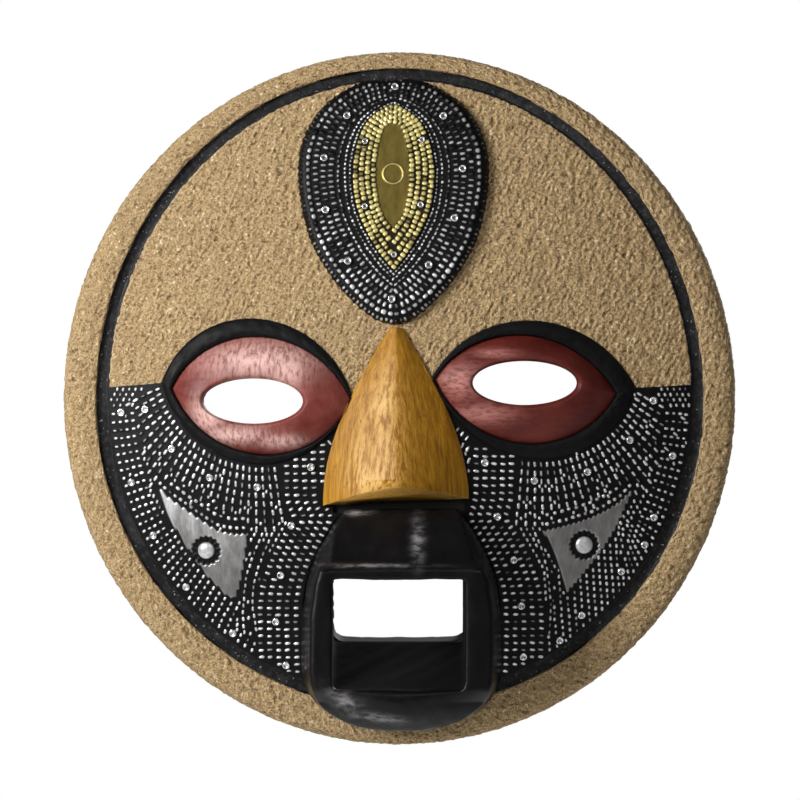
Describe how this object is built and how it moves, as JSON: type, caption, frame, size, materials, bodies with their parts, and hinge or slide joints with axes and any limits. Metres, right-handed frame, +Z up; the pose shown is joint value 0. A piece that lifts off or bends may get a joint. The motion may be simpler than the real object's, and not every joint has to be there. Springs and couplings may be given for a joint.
{
  "type": "carved wooden mask",
  "caption": "Oval carved wooden wall mask with a domed face, almond eyes, wedge nose, open block mouth and nailed embossed metal sheets.",
  "frame": {"origin": "centre of the flat back, on the wall plane that the mask bears on", "axes": "+X to the viewer's right, +Y into the wall, +Z up; the face looks along -Y"},
  "size_m": [0.3194, 0.076, 0.3292],
  "materials": {
    "board_wood": "sand-coated and carved wood with a painted groove",
    "red_paint": "worn brick red paint on carved wood, satin",
    "ochre_stain": "worn ochre stain on carved wood, satin",
    "black_paint": "black paint on carved wood, satin",
    "aluminium_sheet": "embossed thin sheet with blackened recesses",
    "brass_sheet": "embossed thin sheet with dull centre",
    "nail_metal": "rubbed nail head",
    "zinc_steel": "zinc-plated, dull"
  },
  "bodies": {
    "mask": {"mask_board": "board_wood", "eye_left": "red_paint", "eye_right": "red_paint", "nose_wedge": "ochre_stain", "mouth_block": "black_paint", "forehead_sheet": "aluminium_sheet", "brass_sheet": "brass_sheet", "cheek_sheet_left": "aluminium_sheet", "cheek_sheet_right": "aluminium_sheet", "hanger_strap": "zinc_steel", "hanger_screw": "zinc_steel", "nail_panel_01": "nail_metal", "nail_panel_02": "nail_metal", "nail_panel_03": "nail_metal", "nail_panel_04": "nail_metal", "nail_panel_05": "nail_metal", "nail_panel_06": "nail_metal", "nail_panel_07": "nail_metal", "nail_panel_08": "nail_metal", "nail_panel_09": "nail_metal", "nail_panel_10": "nail_metal", "nail_brass_01": "nail_metal", "nail_brass_02": "nail_metal", "nail_brass_03": "nail_metal", "nail_brass_04": "nail_metal", "nail_brass_05": "nail_metal", "nail_cheek_left_01": "nail_metal", "nail_cheek_left_02": "nail_metal", "nail_cheek_left_03": "nail_metal", "nail_cheek_left_04": "nail_metal", "nail_cheek_left_05": "nail_metal", "nail_cheek_left_06": "nail_metal", "nail_cheek_left_07": "nail_metal", "nail_cheek_left_08": "nail_metal", "nail_cheek_left_09": "nail_metal", "nail_cheek_left_10": "nail_metal", "nail_cheek_left_11": "nail_metal", "nail_cheek_left_12": "nail_metal", "nail_cheek_left_13": "nail_metal", "nail_cheek_left_14": "nail_metal", "nail_cheek_right_01": "nail_metal", "nail_cheek_right_02": "nail_metal", "nail_cheek_right_03": "nail_metal", "nail_cheek_right_04": "nail_metal", "nail_cheek_right_05": "nail_metal", "nail_cheek_right_06": "nail_metal", "nail_cheek_right_07": "nail_metal", "nail_cheek_right_08": "nail_metal", "nail_cheek_right_09": "nail_metal", "nail_cheek_right_10": "nail_metal", "nail_cheek_right_11": "nail_metal", "nail_cheek_right_12": "nail_metal", "nail_cheek_right_13": "nail_metal", "nail_cheek_right_14": "nail_metal", "nail_cheek_right_15": "nail_metal"},
    "ring": {"hanger_ring": "zinc_steel"}
  },
  "joints": [
    {"name": "hanger_ring_swing", "type": "hinge", "parent": "mask", "child": "ring", "pos_m": [0, -0.0054, 0.13], "axis": [1, 0, 0], "range_deg": [0, 180]}
  ]
}
